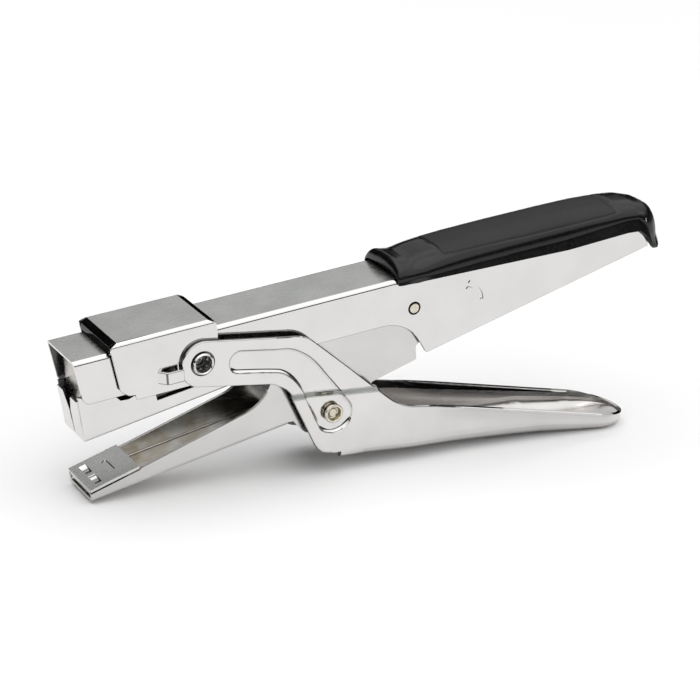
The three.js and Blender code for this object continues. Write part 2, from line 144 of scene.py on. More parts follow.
def outward(obj, merge=1e-4, drop_slivers=False):
    """Merges doubled points and turns every face outwards."""
    bm = bmesh.new()
    bm.from_mesh(obj.data)
    bmesh.ops.remove_doubles(bm, verts=bm.verts, dist=merge)
    if drop_slivers:
        bmesh.ops.dissolve_degenerate(bm, edges=bm.edges, dist=1e-4)
    bmesh.ops.recalc_face_normals(bm, faces=bm.faces)
    bm.to_mesh(obj.data)
    bm.free()
    return obj


def prism(points, low, high, along="y"):
    """An outline pulled from low to high: drawn in (x, z) along y, or in (y, z) along x."""
    n = len(points)
    if along == "y":
        verts = [(u, w, v) for w in (low, high) for u, v in points]
    else:
        verts = [(w, u, v) for w in (low, high) for u, v in points]
    faces = [list(range(n)), list(range(2 * n - 1, n - 1, -1))]
    faces += [(i, i + n, (i + 1) % n + n, (i + 1) % n) for i in range(n)]
    return outward(new_object("prism", verts, faces))


def lathe(profile, x=0.0, z=0.0, steps=64):
    """A closed profile of (radius, y) points turned about an axis along y through (x, z)."""
    n = len(profile)
    verts = []
    faces = []
    for k in range(steps):
        a = 2 * math.pi * k / steps
        verts += [(x + r * math.cos(a), y, z + r * math.sin(a)) for r, y in profile]
    for k in range(steps):
        for i in range(n):
            a, b = k * n + i, k * n + (i + 1) % n
            c, d = (k + 1) % steps * n + (i + 1) % n, (k + 1) % steps * n + i
            faces.append((a, b, c, d))
    return outward(new_object("lathe", verts, faces), drop_slivers=True)


def bake(obj):
    """Applies an object's modifiers."""
    bpy.context.view_layer.update()
    graph = bpy.context.evaluated_depsgraph_get()
    mesh = bpy.data.meshes.new_from_object(obj.evaluated_get(graph))
    obj.modifiers.clear()
    obj.data = mesh
    return obj


def cleaned(obj, distance=0.01):
    """Merges doubled points and drops the slivers that a boolean leaves."""
    bm = bmesh.new()
    bm.from_mesh(obj.data)
    bmesh.ops.remove_doubles(bm, verts=bm.verts, dist=distance)
    bmesh.ops.dissolve_degenerate(bm, edges=bm.edges, dist=distance)
    bm.to_mesh(obj.data)
    bm.free()
    return obj


def combine(base, operation, *tools):
    """Joins the tools to base, cuts them from it or keeps what they share; the tools are used up."""
    for tool in tools:
        boolean = base.modifiers.new("boolean", "BOOLEAN")
        boolean.operation = operation
        boolean.solver = "EXACT"
        boolean.object = tool
    bake(base)
    for tool in tools:
        bpy.data.objects.remove(tool)
    return base


def moved(obj, matrix):
    """Moves the mesh itself, not the object."""
    obj.data.transform(matrix)
    return obj


def lean(degrees, x, z):
    """The move that raises the +x end by degrees and then goes to (x, z)."""
    return Matrix.Translation((x, 0, z)) @ Matrix.Rotation(-math.radians(degrees), 4, "Y")


def stood(obj, side=1):
    """Makes a prism drawn in (x, z) and pulled along y one drawn in (x, y) and pulled along z."""
    return outward(moved(obj, Matrix(((1, 0, 0, 0), (0, 0, side, 0), (0, 1, 0, 0), (0, 0, 0, 1)))))


def box(x0, x1, y0, y1, z0, z1):
    return prism([(x0, z0), (x1, z0), (x1, z1), (x0, z1)], y0, y1)


def across(outline, half=20):
    """An outline in (x, z) pulled right across the tool, to trim or cut with."""
    return prism(outline, -half, half)


def bore(radius, x=0.0, z=0.0, half=12):
    """A round cutter across the tool, by default on the main pin's axis."""
    return across(circle(radius, x, z), half)


def folded(section, low, high, outline, width, place=None):
    """A folded sheet along x, trimmed to an outline in (x, z), its edges broken."""
    channel = prism(section, low, high, "x")
    if place:
        moved(channel, lean(*place))
    return bevelled(combine(channel, "INTERSECT", across(outline)), width)


def tube_along(points, radius, sides=14):
    """A wire through points, as a closed mesh."""
    pts = [Vector(p) for p in points]
    verts = []
    normal = None
    for i, p in enumerate(pts):
        tangent = (pts[min(i + 1, len(pts) - 1)] - pts[max(i - 1, 0)]).normalized()
        if normal is None:
            normal = tangent.orthogonal().normalized()
        normal = (normal - tangent * normal.dot(tangent)).normalized()
        side = tangent.cross(normal)
        for k in range(sides):
            a = 2 * math.pi * k / sides
            verts.append(p + radius * (math.cos(a) * normal + math.sin(a) * side))
    faces = [list(range(sides)), [len(verts) - 1 - k for k in range(sides)]]
    for i in range(len(pts) - 1):
        for k in range(sides):
            a, b = i * sides + k, i * sides + (k + 1) % sides
            faces.append((a, b, b + sides, a + sides))
    return outward(new_object("wire", verts, faces))


def bevelled(obj, width, segments=2, angle=30.0, clamp=False):
    """Rounds every edge sharper than angle."""
    cleaned(obj)
    bevel = obj.modifiers.new("bevel", "BEVEL")
    bevel.width = width
    bevel.segments = segments
    bevel.limit_method = "ANGLE"
    bevel.angle_limit = math.radians(angle)
    bevel.use_clamp_overlap = clamp
    return bake(obj)


def points_of(obj):
    """The mesh's points as an array of rows (x, y, z)."""
    flat = np.empty(len(obj.data.vertices) * 3)
    obj.data.vertices.foreach_get("co", flat)
    return flat.reshape(-1, 3)


def put_points(obj, points):
    obj.data.vertices.foreach_set("co", points.ravel())
    obj.data.update()
    return obj


def refined(obj, chosen, cuts):
    """Divides the faces between the chosen points."""
    bm = bmesh.new()
    bm.from_mesh(obj.data)
    close = {v for v, wanted in zip(bm.verts, chosen) if wanted}
    edges = [e for e in bm.edges if e.verts[0] in close and e.verts[1] in close]
    bmesh.ops.subdivide_edges(bm, edges=edges, cuts=cuts, use_grid_fill=True)
    bm.to_mesh(obj.data)
    bm.free()
    return obj


def shaded(obj, sharp):
    """Smooth shading that stays crisp at edges sharper than sharp."""
    mesh = obj.data
    mesh.polygons.foreach_set("use_smooth", [True] * len(mesh.polygons))
    mesh.set_sharp_from_angle(angle=math.radians(sharp))
    weighted = obj.modifiers.new("weighted", "WEIGHTED_NORMAL")
    weighted.keep_sharp = True
    weighted.weight = 80
    return bake(obj)


def deliver(obj, name, body, materials, node, sharp=38.0):
    """Puts a finished piece in the row frame, in place of its node; a piece given no body is attached
    to none.
    """
    painted = [face.material_index for face in obj.data.polygons]
    moved(shaded(obj, sharp), ARM_FRAME)
    obj.name = obj.data.name = name
    obj.data.materials.clear()
    for material in materials:
        obj.data.materials.append(material)
    obj.data.polygons.foreach_set("material_index", painted)
    if body:
        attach(obj, body)
    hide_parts(node)
    return obj


def paint_faces(obj, coats, material, test):
    """Gives one of the piece's coats to each face whose normal and centre pass the test."""
    for face in obj.data.polygons:
        if test(face.normal, face.center):
            face.material_index = coats.index(material)
    return obj


def lower_edge(normal, centre):
    """The cut edges that look downwards, and their bevels."""
    return normal.z < -0.25 and abs(normal.y) < 0.97 and abs(centre.y) > 8.9


def inward(web=math.inf):
    """A test for the inner faces of a folded sheet's walls, and of its web if its height is given."""
    return lambda normal, centre: normal.y * centre.y < -2 or (
        normal.z < -0.9 and abs(centre.z - web) < 0.4)


# ---------------------------------------------------------------- materials

def blank(name):
    material = bpy.data.materials.new(name)
    material.use_nodes = True
    tree = material.node_tree
    return material, tree, tree.nodes["Principled BSDF"]


def noise(tree, scale, detail=3.0, stretch=None):
    """A noise texture in object space, drawn out along one direction if stretch is given."""
    coordinate = tree.nodes.new("ShaderNodeTexCoord")
    mapping = tree.nodes.new("ShaderNodeMapping")
    mapping.inputs["Scale"].default_value = stretch or (1, 1, 1)
    mapping.inputs["Rotation"].default_value = (0, TILT, 0) if stretch else (0, 0, 0)
    texture = tree.nodes.new("ShaderNodeTexNoise")
    texture.inputs["Scale"].default_value = scale
    texture.inputs["Detail"].default_value = detail
    tree.links.new(coordinate.outputs["Object"], mapping.inputs["Vector"])
    tree.links.new(mapping.outputs["Vector"], texture.inputs["Vector"])
    return texture.outputs["Fac"]


def ramp(tree, source, stops):
    """Turns a value into a colour, by stops of (position, colour)."""
    node = tree.nodes.new("ShaderNodeValToRGB")
    elements = node.color_ramp.elements
    while len(elements) < len(stops):
        elements.new(0.5)
    for element, (position, color) in zip(elements, stops):
        element.position = position
        element.color = (*color, 1)
    tree.links.new(source, node.inputs["Fac"])
    return node.outputs["Color"]


def grey(value):
    return (value, value, value)


def bump(tree, shader, source, strength, distance):
    node = tree.nodes.new("ShaderNodeBump")
    node.inputs["Strength"].default_value = strength
    node.inputs["Distance"].default_value = distance
    tree.links.new(source, node.inputs["Height"])
    tree.links.new(node.outputs["Normal"], shader.inputs["Normal"])


def metal(name, dark, light, rough, grain=None, scale=90.0, grain_scale=900.0, strength=0.05,
          distance=0.00002):
    """Metal with slow changes of colour and gloss, and a fine grain in its surface."""
    material, tree, shader = blank(name)
    shader.inputs["Metallic"].default_value = 1
    slow = noise(tree, scale, 4)
    tree.links.new(ramp(tree, slow, [(0.3, dark), (0.7, light)]), shader.inputs["Base Color"])
    fine = noise(tree, grain_scale, 5, grain)
    tree.links.new(ramp(tree, fine, [(0.25, grey(rough[0])), (0.75, grey(rough[1]))]),
                   shader.inputs["Roughness"])
    bump(tree, shader, fine, strength, distance)
    return material


NICKEL = metal("nickel_polished", (0.67, 0.657, 0.65), (0.71, 0.697, 0.69), (0.04, 0.09),
               (1, 1, 1), strength=0.03)
SATIN = metal("nickel_satin", (0.56, 0.57, 0.55), (0.66, 0.67, 0.65), (0.22, 0.36),
              (0.06, 1, 1), grain_scale=2600.0, strength=0.08)
# darker nickel: painted shade
HALF_SHADE = metal("nickel_painted_half_shade", (0.585, 0.572, 0.562), (0.64, 0.627, 0.617), (0.12, 0.22),
             (1, 1, 1), strength=0.03)
WARM = metal("nickel_warm", (0.52, 0.48, 0.40), (0.74, 0.70, 0.60), (0.14, 0.3), strength=0.2,
             scale=700.0)
# dark steel, also used as painted shade inside the eyelets
DARK_STEEL_AND_SHADE = metal("steel_dark_and_painted_shade", (0.20, 0.20, 0.20), (0.34, 0.34, 0.33), (0.25, 0.45), (0.2, 1, 1),
             strength=0.2)
SPRING = metal("steel_spring", (0.38, 0.36, 0.33), (0.55, 0.53, 0.49), (0.18, 0.32), (1, 1, 1),
               strength=0.2)
# dark grey for edges, hole rims, gaps and the stamped arrow's walls: painted shade
EDGE_SHADE = metal("nickel_edge_painted_shade", grey(0.10), grey(0.18), (0.2, 0.4), (1, 0.2, 1), strength=0.2)
INSIDE = metal("nickel_inside", (0.46, 0.42, 0.36), (0.74, 0.74, 0.73), (0.12, 0.3),
               (0.15, 1, 1), scale=55.0, strength=0.15)
SHADED = metal("nickel_unlit", grey(0.16), grey(0.24), (0.2, 0.35), (0.2, 1, 1), strength=0.1)
STREAKED = metal("nickel_streaked", (0.30, 0.26, 0.20), (0.50, 0.51, 0.50), (0.15, 0.3),
                 (0.08, 1, 1), scale=160.0, strength=0.15)
# a little darker than the polished nickel: painted shade inside the handle
TROUGH_SHADE = metal("nickel_trough_painted_shade", (0.60, 0.585, 0.57), (0.66, 0.645, 0.63), (0.2, 0.26),
               (0.2, 1, 1), strength=0.02)
# grey: painted shade on the joggle's slope
JOGGLE_SHADE = metal("nickel_joggle_painted_shade", (0.38, 0.40, 0.385), (0.44, 0.455, 0.44), (0.1, 0.2),
                (0.3, 1, 1), strength=0.03)
# near black for the saddle's lips, and a painted reflection under the handle's rims
BLACK_AND_DARK_REFLECTION = metal("nickel_black_and_painted_reflection", (0.03, 0.03, 0.03), (0.07, 0.07, 0.07), (0.08, 0.2),
                  (1, 0.1, 1), strength=0.1)


def rubber(name, tone, rough, grain_scale, strength, distance):
    """Black rubber or soft plastic, with a fine grain."""
    material, tree, shader = blank(name)
    slow = noise(tree, 70.0, 3)
    tree.links.new(ramp(tree, slow, [(0.3, grey(tone * 0.7)), (0.7, grey(tone * 1.3))]),
                   shader.inputs["Base Color"])
    fine = noise(tree, grain_scale, 4)
    tree.links.new(ramp(tree, fine, [(0.3, grey(rough[0])), (0.7, grey(rough[1]))]),
                   shader.inputs["Roughness"])
    shader.inputs["Specular IOR Level"].default_value = 0.36
    bump(tree, shader, fine, strength, distance)
    return material


RUBBER_MATTE = rubber("rubber_grained", 0.006, (0.42, 0.6), 3200.0, 0.5, 0.00005)
RUBBER_GLOSS = rubber("rubber_glossy", 0.004, (0.14, 0.26), 900.0, 0.05, 0.00003)


# ---------------------------------------------------------------- anvil body

def anvil_arm():
    """The lower jaw: a channel open upwards, and two ears with the bores of both pivots."""
    half, wall = ANVIL["half"], ANVIL["wall"]
    side = rounded([
        (-108.6, -40), (-44, -40), (-44, -6), (-52.2, -19.25, 14), (-92.4, -28.85),
        (-92.8, -29.3), (-108.6, -32.8)])
    front = folded(channel_section(half, wall, 1.5, 0, 40), 0, 68.5, side, 0.16,
                   (6.4, -108.8, -35.6))
    ear = rounded([
        (-50, -26.9), (-50, -15.1), (-42, -1.5, 5), (-8, 6.8, 4), (6.8, 6.8, 6), (6.8, -9, 3),
        (1, -13.4, 1), (1, -18, 0.8), (-15.1, -21.6, 3), (-22.3, -33, 5), (-38, -33, 5),
        (-42, -27.4)])
    combine(front, "UNION", bevelled(prism(ear, half - wall, half), 0.16),
            bevelled(prism(ear, -half, wall - half), 0.16))
    combine(front, "DIFFERENCE", bore(MAIN_BORE), bore(LEVER_BORE + 0.05, *LEVER_PIVOT))
    # the whole arm takes a darker nickel, painted shade meant for the ears inside the upper arm; the
    # channel's inside is mottled brownish grey, its far inner wall darker and streaked
    coats = [HALF_SHADE, INSIDE, STREAKED]
    paint_faces(front, coats, INSIDE, lambda normal, centre:
                centre.x < -44 and abs(centre.y) < 7.45 and abs(normal.y) < 0.99)
    paint_faces(front, coats, STREAKED, lambda normal, centre:
                centre.x < -44 and centre.y > 7 and normal.y < -0.9)
    return deliver(front, "anvil_arm_shell", "anvil", coats, "anvil_arm")


def anvil_plate():
    """The forming plate: two cupped grooves that bend a staple's legs inwards, and a long one."""
    length, half, thick = 16.3, ANVIL["half"], 0.8
    plate = box(0, length, -half, half, -thick, 0)
    cups = [prism(circle(7.7, side * 3.55, 7.15, 96), 2.6, 4.8, "x") for side in (-1, 1)]
    groove = rounded([(8.6, -3.6, 0.7), (10.4, -3.6, 0.7), (10.4, 3.6, 0.7), (8.6, 3.6, 0.7)])
    combine(plate, "DIFFERENCE", *cups, stood(prism(groove, -0.4, 1)))
    # the turned-down front
    combine(plate, "UNION", box(0, thick, -7.2, 7.2, -3.0, -0.4))
    bevelled(plate, 0.14)
    coats = [NICKEL, SATIN]
    paint_faces(plate, coats, SATIN, lambda normal, centre:
                normal.z > 0.9 and centre.z > -0.05)
    moved(plate, lean(12.7, -108.8, -31.6))
    return deliver(plate, "anvil_face_plate", "anvil", coats, "anvil_plate")


def main_pin():
    """A plain pin with broken edges, on the arm frame's own axis."""
    radius, half = 1.65, 10.2
    profile = [(0, -half - 0.02), (radius - 0.35, -half), (radius - 0.1, -half + 0.1),
               (radius, -half + 0.35), (radius, half - 0.35), (radius - 0.1, half - 0.1),
               (radius - 0.35, half), (0, half + 0.02)]
    return deliver(lathe(profile), "main_pin_turned", "anvil", [WARM], "main_pin")


def lever_rivet():
    """A tubular rivet with a rolled rim round a cup at each end."""
    face = 11.9
    half = [(2.6, face), (3.05, face), (3.1, face + 0.25), (2.95, face + 0.5), (2.7, face + 0.6),
            (2.3, face + 0.56), (2.1, face + 0.3), (1.95, face - 0.9), (1.6, face - 1.1),
            (1.4, face - 0.6), (1.15, face - 0.35), (0.5, face - 0.3), (0, face - 0.28)]
    profile = [(r, -y) for r, y in reversed(half)] + half
    return deliver(lathe(profile, *LEVER_PIVOT), "lever_rivet_cupped", "anvil", [WARM],
                   "lever_rivet")


def return_spring():
    """A torsion spring: one leg in the jaw, a coil about the lever's pivot, one leg in the handle."""
    x, z = LEVER_PIVOT
    turns, radius, wire, half = 5.25, 4.75, 0.6, 3.3
    start = math.radians(128)
    front_leg = (-52, -half, -27)
    rear_leg = (2, half, -43)
    points = [front_leg]
    steps = int(turns * 28)
    for k in range(steps + 1):
        share = k / steps
        angle = start - 2 * math.pi * turns * share
        points.append((x + radius * math.cos(angle), half * (2 * share - 1),
                       z + radius * math.sin(angle)))
    points.append(rear_leg)
    piece = deliver(tube_along(points, wire, 12), "return_spring_wire", None,
                    [SPRING], "return_spring", sharp=60)
    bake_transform(piece)
    return piece


# ---------------------------------------------------------------- arm body

def upper_arm():
    """A channel open downwards, deepest behind the main pin and cut back towards its end."""
    side = rounded([
        (-110.9, 12), (-110.9, 10.5), (-109, -1.2), (-108.4, -3.4, 2.2),
        (-2.6, -3.4, 14.2), (3.7, -15.8, 1), (81.9, -0.3), (85.4, 0.5), (84.8, 12)])
    channel = folded(channel_section(10, 1, 1.5, 10.5, -20), -112, 88, side, 0.16)
    combine(channel, "DIFFERENCE", bore(MAIN_BORE + 0.2), arrow_stamp())
    coats = [NICKEL, SATIN, SHADED, EDGE_SHADE]
    paint_faces(channel, coats, SATIN, lambda normal, centre:
                normal.z > 0.995 and centre.z > 10.4)
    # the inner faces, the cut edges that look down, the bore's rim round the main pin and the stamped
    # arrow's walls are painted dark: painted shade
    paint_faces(channel, coats, SHADED, inward(9.6))
    paint_faces(channel, coats, EDGE_SHADE, lower_edge)
    paint_faces(channel, coats, EDGE_SHADE, lambda normal, centre:
                math.hypot(centre.x, centre.z) < 2.5 and abs(normal.y) < 0.9)
    paint_faces(channel, coats, EDGE_SHADE, lambda normal, centre: -9.99 < centre.y < -9.71 and math.hypot(
        centre.x - ARROW["x"], centre.z - ARROW["z"]) < ARROW["reach"])
    return deliver(channel, "upper_arm_shell", "arm", coats, "upper_arm")


def arrow_stamp():
    """A curved arrow stamped into the near cheek, shallow, with no lettering."""
    x, z = ARROW["x"], ARROW["z"]

    def bow(radius):
        angles = [math.radians(a) for a in range(0, 80, 6)]
        return [(x + radius * math.cos(a), z + radius * math.sin(a)) for a in angles]

    head = [(x + 2.0, z + 7.2), (x - 0.9, z + 6.6), (x + 0.4, z + 4.4)]
    outer = bow(ARROW["radius"] + ARROW["half_width"])
    inner = bow(ARROW["radius"] - ARROW["half_width"])
    return prism(outer + head + inner[::-1], -10.5, -9.7)


def driver_blade():
    """The strip that pushes a staple out of the magazine."""
    blade = box(-107.6, -107, -6.2, 6.2, -9.7, 9.2)
    bevelled(blade, 0.08)
    return deliver(blade, "driver_blade_strip", "arm", [SPRING], "driver_blade")


def magazine_spring():
    """A leaf that keeps the magazine down, away from the arm."""
    top, thick = 9.2, 0.5
    leaf = rounded([
        (-16, top), (-34, top, 20), (-70, 0.2, 6), (-76, 2.2), (-76, 2.2 - thick),
        (-70, 0.2 - thick, 6), (-34, top - thick, 20), (-16, top - thick)])
    piece = deliver(bevelled(prism(leaf, -3.5, 3.5), 0.08), "magazine_leaf_spring", None,
                    [SPRING], "magazine_spring")
    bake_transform(piece)
    return piece


# ---------------------------------------------------------------- grip

GRIP_TOP = [(-3.4, 15.3), (-1.4, 14.8), (0.8, 14.4), (3, 14.6), (7, 15.3), (12, 15.8), (20, 16.2),
            (34, 16.45), (55, 16.48), (66, 16.2), (76.6, 15.3), (83, 14.4), (87, 13.3),
            (89.4, 11.9), (90.6, 9.8), (91.0, 7.0)]
GRIP_LOW = [(-5.6, 8.9), (-3, 8.9), (55, 6.5), (77, 7.0), (82, 6.5), (84.5, 4.0), (87, 0.2),
            (88.6, -1.05), (91.0, 0.5)]
PANEL_FRONT, PANEL_REAR = 11.5, 74.5


def tapered(x, corner):
    """Half width of the sleeve, drawn in round its rear corner."""
    into = max(0.0, (x - (91.1 - corner)) / corner)
    return 11.5 - corner * (1 - math.sqrt(max(0.0, 1 - into * into)))


def grip_ring(x, top, inset=0.0):
    """One ring of the sleeve's skin, from the near lower edge over the top to the far one."""
    foot = tapered(x, 5.5) - 0.9 * inset
    low = float(np.interp(x, *zip(*GRIP_LOW)))
    band = float(np.interp(x, [-5, 4, 20, 60, 85, 91], [1.0, 1.2, 2.0, 3.2, 3.8, 3.2]))
    edge = max(low + 0.4, min(low + band, top - 0.5))
    waist = 0.4 * math.exp(-((x - 1.5) / 2.5) ** 2)
    crease = tapered(x, 6.2) - 0.36 * (edge - low) - 0.9 * inset - waist
    half = []
    for k in range(41):
        a = math.pi / 2 * k / 40
        half.append((crease * math.sin(a) ** 0.67, edge + (top - edge) * abs(math.cos(a)) ** 0.9))
    half += [(crease + (foot - crease) * k / 7, edge + (low - edge) * k / 7) for k in range(1, 8)]
    return [Vector((x, -y, z)) for y, z in reversed(half)] + [Vector((x, y, z)) for y, z in half[1:]]


def grip():
    """A moulded sleeve: a rolled collar, a long crowned top with a grained panel, a round end."""
    rings = []
    front, top = GRIP_TOP[0]
    rear, end = GRIP_TOP[-1]
    for k in range(11):
        turn = math.pi / 2 * k / 10
        inset = 1 - math.sin(turn)
        rings.append(grip_ring(front - 2.2 * math.cos(turn), top - 3.4 * inset, inset))
    for x in (*np.linspace(-3.1, 6, 30), *np.linspace(6.8, 76, 92), *np.linspace(76.6, rear, 40)):
        rings.append(grip_ring(float(x), float(np.interp(x, *zip(*GRIP_TOP)))))
    rings += [grip_ring(rear + 0.02 * k, end - 1.1 * k) for k in range(1, 6)]
    n = len(rings[0])
    faces = [(i * n + j, i * n + j + 1, (i + 1) * n + j + 1, (i + 1) * n + j)
             for i in range(len(rings) - 1) for j in range(n - 1)]
    skin = new_object("grip", [p for ring in rings for p in ring], faces)
    if sum(f.normal.z for f in skin.data.polygons) < 0:
        skin.data.flip_normals()
    smooth = skin.modifiers.new("smooth", "SMOOTH")
    smooth.factor = 0.5
    smooth.iterations = 4
    bake(skin)
    refined(skin, [p[2] > 8 and abs(panel_inset(Vector(p))) < 0.7 for p in points_of(skin)], 2)
    # the fine groove round the panel
    for vertex in skin.data.vertices:
        if vertex.co.z > 8:
            inset = panel_inset(vertex.co)
            vertex.co.z -= 0.3 * math.exp(-(inset / 0.28) ** 2)
    thick = skin.modifiers.new("thick", "SOLIDIFY")
    thick.thickness = 1.2
    thick.offset = -1
    thick.use_rim = True
    bake(skin)
    coats = [RUBBER_GLOSS, RUBBER_MATTE]
    paint_faces(skin, coats, RUBBER_MATTE, lambda normal, centre:
                panel_inset(centre) > 0.1 and normal.z > 0.3)
    return deliver(skin, "grip_sleeve", "arm", coats, "grip")


def panel_inset(p):
    """How far inside the grained panel of the sleeve's top a point is, in mm."""
    half = float(np.interp(p.x, [11, 16, 40, 70, 74.5], [8.0, 8.7, 9.1, 9.0, 8.6]))
    return min(half - abs(p.y), p.x - PANEL_FRONT, PANEL_REAR - p.x)


# ---------------------------------------------------------------- saddle

def saddle():
    """A yoke over the arm: walls with a bore each, a top with a lip at both ends, two tabs."""
    front, rear = -100.0, -68.8
    half, wall, top = SADDLE["half"], SADDLE["wall"], SADDLE["top"]
    side = rounded([
        (front + 2.4, 20), (front + 2.4, top), (front, top - 1.1, 0.8), (-97.8, -1.4, 1.5),
        (-95.5, -3.2, 1.5), (-93.4, -3.4), (-93.2, -5), (-66, -5), (rear + 2.4, 6),
        (rear + 2.4, top - 1.3, 0.8), (rear, top), (rear, 20)])
    channel = combine(prism(channel_section(half, wall, 1.4, top, -20), -110, -50, "x"),
                      "INTERSECT", across(side))
    # between the walls the web ends where the lips begin
    inner = half - wall
    combine(channel, "DIFFERENCE", box(-110, front + 2.1, -inner, inner, top - 2.6, top + 1),
            box(rear + 0.3, -50, -inner, inner, top - 2.6, top + 1))
    # no spike of the bevel stands over the top
    points = points_of(bevelled(channel, 0.16))
    points[:, 2] = np.minimum(points[:, 2], top)
    put_points(channel, points)
    combine(channel, "DIFFERENCE", bore(LEVER_BORE + 0.3, *SADDLE_PIVOT, half=20))
    combine(channel, "UNION", saddle_lip(front + 2.5, -1), saddle_lip(rear, 1),
            hook_tab(-1), hook_tab(1))
    coats = [NICKEL, SATIN, BLACK_AND_DARK_REFLECTION, SHADED, EDGE_SHADE]
    paint_faces(channel, coats, SATIN, lambda normal, centre:
                normal.z > 0.995 and centre.z > top - 0.05)
    # the lips, painted near black
    paint_faces(channel, coats, BLACK_AND_DARK_REFLECTION, lambda normal, centre:
                abs(centre.y) < 10.25 and top - 3 < centre.z < top + 1
                and (centre.x < front + 2.45 or centre.x > rear + 0.05))
    # the inner faces and the cut edges that look down, painted dark: painted shade
    paint_faces(channel, coats, SHADED, inward(top - 0.85))
    paint_faces(channel, coats, EDGE_SHADE, lower_edge)
    # the sides of the tabs, but not their bend, painted dark: painted shade
    paint_faces(channel, coats, EDGE_SHADE, lambda normal, centre:
                abs(centre.y) > half + 0.03 and abs(normal.y) < 0.93 and normal.z < 0.8
                and not (normal.x < -0.7 and abs(normal.y) > 0.5))
    return deliver(channel, "saddle_shell", "saddle", coats, "saddle")


def saddle_lip(edge, direction):
    """The turned-down end of the saddle's top: a sloping facet, a crease and a short drop."""
    wall, half, top = SADDLE["wall"], SADDLE["lip_half"], SADDLE["top"]
    skin = [(0, 0), (2.2, -0.85, 0.7), (2.6, -2.8)]
    back = [(2.6 - wall, -2.8), (2.25 - wall, -0.85 - wall * 0.75, 0.2), (0, -wall)]
    outline = rounded([(edge + direction * corner[0], top + corner[1], *corner[2:])
                       for corner in skin + back])
    return bevelled(prism(outline, -half, half), 0.14)


def hook_tab(side):
    """A tab cut out of the saddle's wall and bent outwards."""
    near, far = 13.5, 14.45
    strip = prism(rounded([
        (-86.6, 11.3), (-85.3, 11.3), (-83.6, near, 0.7), (-78.9, near), (-78.9, far, 0.3),
        (-84.2, far, 1.4)]), -1.75, 1.95)
    return bevelled(stood(strip, side), 0.3, 3)


# ---------------------------------------------------------------- lever body

LEVER_WALL = 1.1
HANDLE_HALF = 11.6
JOGGLE_STEP, JOGGLE_RUN = 1.6, 2.6
NOSE = -79
TROUGH_START = -28.0
CHEEK_END = TROUGH_START - 0.2
TAIL_START, TAIL = 67, 13.4
# upper and lower outline of the lever, in (x, z)
LEVER_TOP = rounded([(NOSE, 2), (NOSE, 10.2, 7), (-38.4, 1.85, 11), (-6.8, -30.7, 20),
                     (6, -34.2, 40), (84, -59.6)], closed=False, step=4)
LEVER_LOW = rounded([(NOSE, 2), (NOSE, -4.5, 6.2), (-50.2, -11, 6), (-45, -14.5, 8),
                     (-35.4, -39.3, 7), (-24, -40.6)], closed=False, step=4)
# the pressed groove's middle line and half width, as (x, z, half)
GROOVE = curved([(-60.4, -1.0, 3.8), (-50.0, -3.4, 3.9), (-44.6, -5.0, 4.2), (-39.9, -9.0, 4.4),
                 (-35.6, -15.8, 4.8), (-29.7, -27.1, 6.3)])


def nearest(x, z, start, end):
    """The nearest place on a segment, as a share of its length, and the distance to it."""
    dx, dz = end[0] - start[0], end[1] - start[1]
    share = np.clip(((x - start[0]) * dx + (z - start[1]) * dz) / (dx * dx + dz * dz), 0.0, 1.0)
    return share, np.hypot(x - start[0] - share * dx, z - start[1] - share * dz)


def smoothstep(t):
    """From 0 to 1 with level ends."""
    t = np.clip(t, 0.0, 1.0)
    return t * t * (3 - 2 * t)


def groove_depth(x, z):
    """How far inside the pressed groove a point is, in mm: above 0 is inside."""
    best = np.full(np.shape(x), -99.0)
    for start, end in zip(GROOVE, GROOVE[1:]):
        share, distance = nearest(x, z, start, end)
        best = np.maximum(best, start[2] + (end[2] - start[2]) * share - distance)
    return best


def above_joggle(x, z):
    """Height above the joggle's upper edge, which falls towards the handle."""
    fall = math.radians(9.2)
    return (z + 15.9 + (x + 45.0) * math.tan(fall)) * math.cos(fall)


def cheek_out(x, z):
    """Half width of the lever's cheek: wide at the saddle, joggled in towards the handle."""
    return HANDLE_HALF + JOGGLE_STEP * smoothstep((above_joggle(x, z) + JOGGLE_RUN) / JOGGLE_RUN)


def rim_distance(x, z):
    """Distance from the cheek's outline."""
    best = np.full(len(x), 99.0)
    for line in (LEVER_TOP, [p for p in LEVER_LOW if p[0] < CHEEK_END]):
        for start, end in zip(line, line[1:]):
            best = np.minimum(best, nearest(x, z, start, end)[1])
    return best


def handle_half(x):
    """Half width of the handle behind the cheeks, before its tail is rounded off."""
    return HANDLE_HALF - 0.3 * np.clip(x / 60, 0, 1)


def draw_in(x, below):
    """How much narrower the handle is at a depth below its upper edge."""
    return 1.3 * smoothstep((x + 6) / 24) * (1 - (1 - np.clip(below / 6, 0, 1)) ** 2)


def sheet_middle(points):
    """Half width at the middle of the sheet."""
    x, _, z = points.T
    below = np.interp(x, *zip(*LEVER_TOP)) - z
    return np.where(x < 0, cheek_out(x, z), handle_half(x)) - draw_in(x, below) - LEVER_WALL / 2


